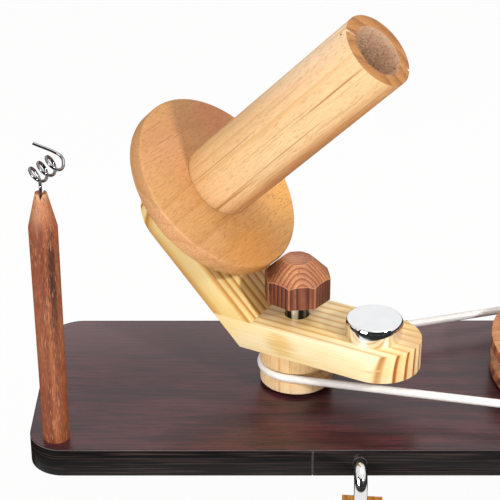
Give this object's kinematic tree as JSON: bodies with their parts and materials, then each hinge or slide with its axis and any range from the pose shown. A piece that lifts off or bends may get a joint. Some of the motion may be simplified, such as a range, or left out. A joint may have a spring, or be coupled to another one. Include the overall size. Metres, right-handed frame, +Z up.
{
  "type": "yarn ball winder",
  "caption": "Table-clamped yarn ball winder with a belt-driven arm, a tilted rolling spindle, a hand wheel and a wire yarn guide.",
  "frame": {"origin": "centre of the base board's underside, the face that stands on the table", "axes": "+Z up out of the table face, +X along the board towards the drive wheel, +Y towards the back edge, away from the clamp"},
  "size_m": [0.436, 0.1964, 0.3673],
  "materials": {
    "laminate": "satin laminate",
    "edge_band": "satin",
    "rosewood": "oiled",
    "bright_wire": "bright",
    "belt": "smooth, milky",
    "steel": "zinc plated",
    "bearing_steel": "ground",
    "polished_steel": "polished",
    "brass": "plain",
    "pine": "clear lacquer",
    "dowel_wood": "plain",
    "beech": "clear lacquer",
    "chrome": "mirror",
    "jaw_wood": "clear lacquer"
  },
  "bodies": {
    "base": {"base_board": "laminate", "edge_band": "edge_band", "guide_post": "rosewood", "yarn_guide": "bright_wire", "drive_belt": "belt", "main_bolt": "steel", "main_bolt_washer": "steel", "main_base_spacer": "steel", "main_sleeve": "steel", "main_collar": "polished_steel", "arm_bearing_inner_rings": "bearing_steel", "friction_knob": "rosewood", "knob_insert": "brass", "wheel_bolt": "steel", "wheel_bolt_washer": "steel", "wheel_base_spacer": "steel", "wheel_sleeve": "steel", "wheel_top_washer": "steel", "wheel_lock_nut": "steel", "wheel_bearing_inner_rings": "bearing_steel"},
    "arm": {"arm_board": "pine", "spindle_board": "pine", "joint_dowels": "dowel_wood", "small_pulley": "beech", "pulley_screws": "steel", "arm_bearing_outer_rings": "bearing_steel", "counterweight": "chrome", "weight_screw": "steel", "spindle_bolt": "steel", "spindle_bolt_washer": "steel", "spindle_base_spacer": "steel", "spindle_sleeve": "steel", "spindle_nut_washer": "steel", "spindle_nut": "steel", "spindle_bearing_inner_rings": "bearing_steel"},
    "spindle": {"spindle_disc": "beech", "spindle_boss": "beech", "spindle_tube": "beech", "spindle_bearing_outer_rings": "bearing_steel"},
    "wheel": {"drive_wheel": "rosewood", "wheel_bearing_outer_rings": "bearing_steel", "crank_pin": "steel", "crank_pin_nut": "steel", "crank_washer": "steel"},
    "grip": {"crank_grip": "rosewood"},
    "clamp_hook": {"clamp_rod": "chrome"},
    "clamp_carrier": {"clamp_washer": "chrome"},
    "jaw": {"clamp_jaw": "jaw_wood"},
    "nut": {"wing_nut": "chrome"}
  },
  "joints": [
    {"name": "wheel_spin", "type": "hinge", "parent": "base", "child": "wheel", "pos_m": [0.163, 0.01, 0.0314], "axis": [0, 0, 1], "continuous": true},
    {"name": "arm_spin", "type": "hinge", "parent": "base", "child": "arm", "pos_m": [-0.036, 0.003, 0.0433], "axis": [0, 0, 1], "continuous": true},
    {"name": "spindle_spin", "type": "hinge", "parent": "arm", "child": "spindle", "pos_m": [-0.09278, 0.0348, 0.13259], "axis": [0.6169, -0.3455, 0.7071], "continuous": true},
    {"name": "grip_spin", "type": "hinge", "parent": "wheel", "child": "grip", "pos_m": [0.21375, 0.03367, 0.088], "axis": [0, 0, 1], "continuous": true},
    {"name": "clamp_swing", "type": "hinge", "parent": "base", "child": "clamp_hook", "pos_m": [0, -0.055, 0.009], "axis": [0, 1, 0], "range_deg": [-45, 45]},
    {"name": "nut_turn", "type": "hinge", "parent": "clamp_carrier", "child": "nut", "pos_m": [0, -0.0915, -0.0636], "axis": [0, 0, 1], "range_deg": [-7205, 5189]},
    {"name": "jaw_slide", "type": "slide", "parent": "clamp_hook", "child": "clamp_carrier", "axis": [0, 0, 1], "range_m": [-0.025, 0.018]},
    {"name": "jaw_swivel", "type": "hinge", "parent": "clamp_carrier", "child": "jaw", "pos_m": [0, -0.0915, -0.048], "axis": [0, 0, 1], "range_deg": [-84.5, 95.5]}
  ],
  "couplings": [
    {"joint": "arm_spin", "follows": "wheel_spin", "ratio": 3.316},
    {"joint": "spindle_spin", "follows": "wheel_spin", "ratio": 0.9156},
    {"joint": "nut_turn", "follows": "jaw_slide", "rad_per_m": 5026.5}
  ]
}
